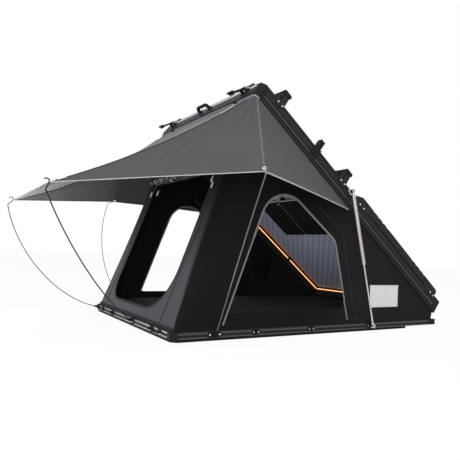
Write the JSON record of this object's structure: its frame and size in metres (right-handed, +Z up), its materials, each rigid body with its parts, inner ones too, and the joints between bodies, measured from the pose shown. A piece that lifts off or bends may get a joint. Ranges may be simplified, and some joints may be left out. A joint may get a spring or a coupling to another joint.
{
  "type": "roof top tent",
  "caption": "Black hard-shell wedge roof top tent, open, with canvas walls, gas struts and a grey awning on bent rods.",
  "frame": {"origin": "centre of the four mounting holes, on the underside of the mounting channels", "axes": "+X towards the hinge at the front, +Y to the far side, +Z up"},
  "size_m": [2.9852, 2.415, 1.5763],
  "materials": {
    "rail_black": "satin",
    "bracket_black": "satin",
    "moulded_black": "matte",
    "channel_silver": "satin",
    "floor_board": "matte",
    "seal_rubber": "matte",
    "mattress_cloth": "matte",
    "canvas_black": "matte",
    "awning_cloth": "matte",
    "liner_quilt": "matte",
    "light_amber": "gloss",
    "steel_bright": "polished",
    "strut_silver": "satin",
    "strut_chrome": "polished",
    "rod_black": "satin"
  },
  "bodies": {
    "base": {"floor_panel": "floor_board", "base_rail_near": "rail_black", "base_rail_far": "rail_black", "base_rail_rear": "rail_black", "base_rail_front": "rail_black", "base_corner_blocks": "moulded_black", "lower_trim": "moulded_black", "mount_channels": "channel_silver", "rail_seal": "seal_rubber", "mattress": "mattress_cloth", "hinge_base_leaves": "bracket_black", "hinge_pins": "steel_bright", "latch_keepers": "bracket_black", "rear_rod_sockets": "moulded_black", "side_rod_sockets": "moulded_black", "side_tie_brackets": "bracket_black", "strut_base_brackets": "bracket_black", "base_bolts": "steel_bright", "side_wall_near": "canvas_black", "side_wall_far": "canvas_black", "rear_wall": "canvas_black", "front_gusset": "canvas_black", "rear_door_roll": "canvas_black", "side_door_roll_near": "canvas_black", "side_door_roll_far": "canvas_black", "wall_pocket": "canvas_black"},
    "roof": {"roof_panel": "rail_black", "roof_rail_near": "rail_black", "roof_rail_far": "rail_black", "roof_rail_rear": "rail_black", "roof_rail_front": "rail_black", "roof_corner_blocks": "moulded_black", "roof_liner": "liner_quilt", "light_strips": "light_amber", "ceiling_organiser": "canvas_black", "crossbar_rear": "rail_black", "crossbar_mid": "rail_black", "crossbar_feet": "rail_black", "crossbar_end_caps": "moulded_black", "accessory_brackets": "moulded_black", "fairing_near": "rail_black", "fairing_far": "rail_black", "roof_bolts": "steel_bright", "grab_handle": "moulded_black", "latch_plates": "bracket_black", "hinge_roof_leaves": "bracket_black", "strut_roof_brackets": "strut_silver", "awning": "awning_cloth", "awning_grommets": "steel_bright"},
    "strut_cylinder_near": {"strut_cylinder_near": "strut_silver"},
    "strut_cylinder_far": {"strut_cylinder_far": "strut_silver"},
    "strut_rod_near": {"strut_rod_near": "strut_chrome"},
    "strut_rod_far": {"strut_rod_far": "strut_chrome"},
    "latch_lever_near": {"latch_lever_near": "bracket_black"},
    "latch_lever_far": {"latch_lever_far": "bracket_black"},
    "rear_rod_near": {"rear_rod_near": "rod_black"},
    "rear_rod_far": {"rear_rod_far": "rod_black"},
    "side_rod_near": {"side_rod_near": "rod_black"},
    "side_rod_far": {"side_rod_far": "rod_black"}
  },
  "joints": [
    {"name": "roof_hinge", "type": "hinge", "parent": "base", "child": "roof", "pos_m": [1.17, 0, 0.072], "axis": [0, -1, 0], "range_deg": [0, 38], "stiffness_Nm_per_rad": 300, "springref_deg": -85.94, "deforming": ["side_wall_near", "side_wall_far", "rear_wall", "front_gusset", "rear_door_roll", "side_door_roll_near", "side_door_roll_far", "wall_pocket", "ceiling_organiser", "awning", "awning_grommets"]},
    {"name": "strut_swing_near", "type": "hinge", "parent": "roof", "child": "strut_cylinder_near", "pos_m": [0.16627, -0.731, 0.94757], "axis": [0, -1, 0], "range_deg": [0, 26.59]},
    {"name": "strut_slide_near", "type": "slide", "parent": "strut_cylinder_near", "child": "strut_rod_near", "axis": [-0.2514, 0, 0.9679], "range_m": [0, 0.36864]},
    {"name": "strut_swing_far", "type": "hinge", "parent": "roof", "child": "strut_cylinder_far", "pos_m": [0.16627, 0.731, 0.94757], "axis": [0, -1, 0], "range_deg": [0, 26.59]},
    {"name": "strut_slide_far", "type": "slide", "parent": "strut_cylinder_far", "child": "strut_rod_far", "axis": [-0.2514, 0, 0.9679], "range_m": [0, 0.36864]},
    {"name": "latch_near", "type": "hinge", "parent": "roof", "child": "latch_lever_near", "pos_m": [-0.6176, -0.535, 1.52954], "axis": [0, -1, 0], "range_deg": [0, 25]},
    {"name": "latch_far", "type": "hinge", "parent": "roof", "child": "latch_lever_far", "pos_m": [-0.6176, 0.535, 1.52954], "axis": [0, -1, 0], "range_deg": [0, 25]},
    {"name": "rear_rod_near_pull", "type": "slide", "parent": "base", "child": "rear_rod_near", "axis": [-0.7759, -0.4068, 0.4821], "range_m": [0, 0.06]},
    {"name": "rear_rod_far_pull", "type": "slide", "parent": "base", "child": "rear_rod_far", "axis": [-0.9799, 0.0178, 0.1988], "range_m": [0, 0.06]},
    {"name": "side_rod_near_pull", "type": "slide", "parent": "base", "child": "side_rod_near", "axis": [-0.0189, -0.4597, 0.8879], "range_m": [0, 0.06]},
    {"name": "side_rod_far_pull", "type": "slide", "parent": "base", "child": "side_rod_far", "axis": [-0.3034, 0.9203, 0.2468], "range_m": [0, 0.06]}
  ],
  "couplings": [
    {"joint": "strut_swing_near", "follows": "roof_hinge", "ratio": 0.69956},
    {"joint": "strut_slide_near", "follows": "roof_hinge", "m_per_rad": 0.55568},
    {"joint": "strut_swing_far", "follows": "roof_hinge", "ratio": 0.69956},
    {"joint": "strut_slide_far", "follows": "roof_hinge", "m_per_rad": 0.55568}
  ]
}
